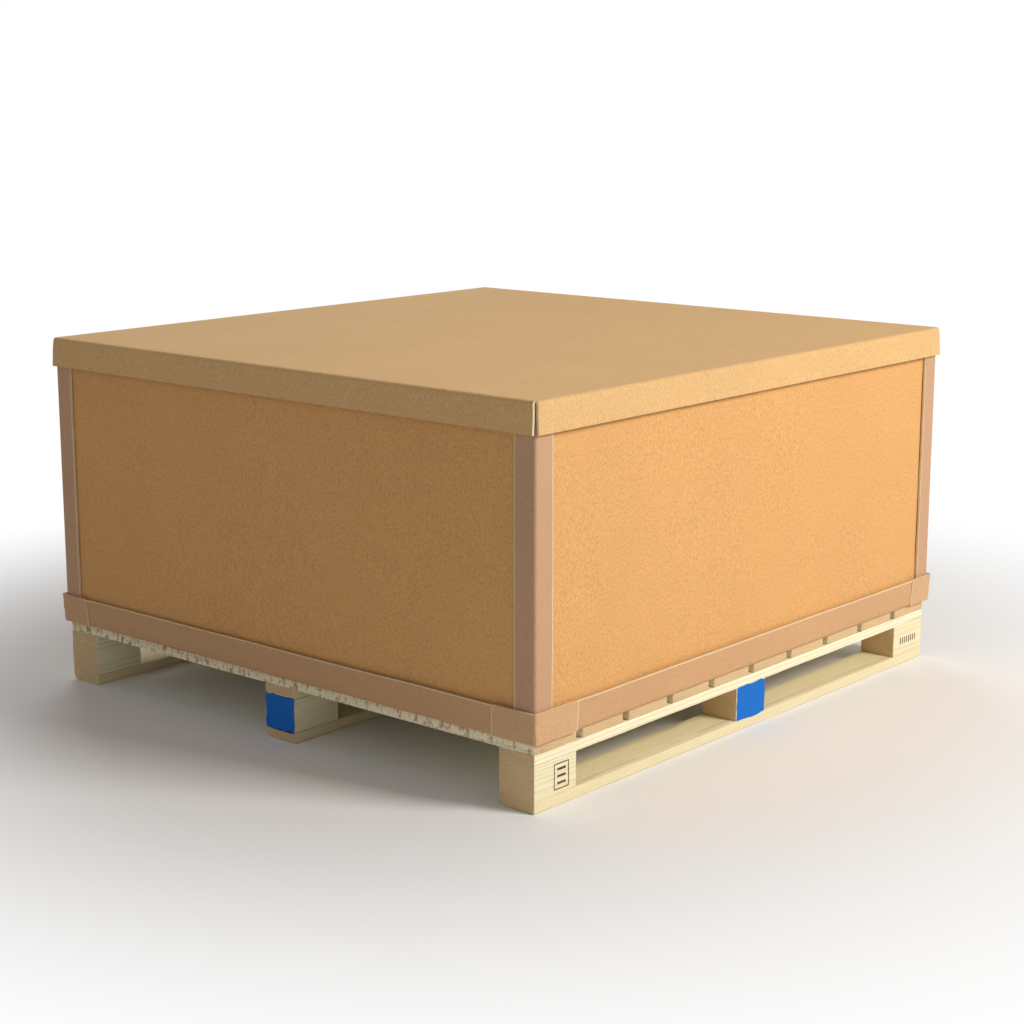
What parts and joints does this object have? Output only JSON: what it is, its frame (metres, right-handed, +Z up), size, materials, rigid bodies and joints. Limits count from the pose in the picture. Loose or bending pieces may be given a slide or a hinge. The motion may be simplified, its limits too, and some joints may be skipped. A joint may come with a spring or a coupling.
{
  "type": "bulk pallet box",
  "caption": "Corrugated bulk box on a nailed wooden block pallet, with angle board posts and trims and a flanged cap lid that lifts off.",
  "frame": {"origin": "on the ground, under the middle of the pallet", "axes": "+Z up, +X along the pallet's runner boards, +Y along its deck boards. The picture's brighter face looks along -Y and its darker face along -X"},
  "size_m": [1.1672, 1.1272, 0.627],
  "materials": {
    "pine_board": "sawn",
    "pine_block": "sawn",
    "blue_paint": "satin brushed paint",
    "kraft_panel": "matt kraft",
    "base_board": "matt kraft",
    "angle_board": "smooth kraft",
    "patch_board": "smooth kraft",
    "lid_board": "matt kraft",
    "nail_steel": "bright drawn"
  },
  "bodies": {
    "base": {"runner_board_front": "pine_board", "block_front_left": "pine_block", "block_front_centre": "pine_block", "block_front_right": "pine_block", "stringer_board_front": "pine_board", "runner_board_middle": "pine_board", "block_middle_left": "pine_block", "block_middle_centre": "pine_block", "block_middle_right": "pine_block", "stringer_board_middle": "pine_board", "runner_board_back": "pine_board", "block_back_left": "pine_block", "block_back_centre": "pine_block", "block_back_right": "pine_block", "stringer_board_back": "pine_board", "deck_board_1": "pine_board", "deck_board_2": "pine_board", "deck_board_3": "pine_board", "deck_board_4": "pine_board", "deck_board_5": "pine_board", "deck_board_6": "pine_board", "deck_board_7": "pine_board", "deck_board_8": "pine_board", "deck_board_9": "pine_board", "deck_board_10": "pine_board", "paint_mark_front": "blue_paint", "paint_mark_right": "blue_paint", "paint_mark_back": "blue_paint", "paint_mark_left": "blue_paint", "bottom_trim_front": "angle_board", "bottom_trim_right": "angle_board", "bottom_trim_back": "angle_board", "bottom_trim_left": "angle_board", "base_panel": "base_board", "wall_sleeve": "kraft_panel", "corner_post_front_left": "angle_board", "corner_post_front_right": "angle_board", "corner_post_back_right": "angle_board", "corner_post_back_left": "angle_board", "corner_patch_front_left": "patch_board", "corner_patch_front_right": "patch_board", "corner_patch_back_right": "patch_board", "corner_patch_back_left": "patch_board", "base_nail_1": "nail_steel", "base_nail_2": "nail_steel", "base_nail_3": "nail_steel", "base_nail_4": "nail_steel", "base_nail_5": "nail_steel", "base_nail_6": "nail_steel", "base_nail_7": "nail_steel", "base_nail_8": "nail_steel"},
    "lid": {"lid": "lid_board"}
  },
  "joints": [
    {"name": "lid_lift", "type": "slide", "parent": "base", "child": "lid", "axis": [0, 0, 1], "range_m": [0, 0.25]}
  ]
}
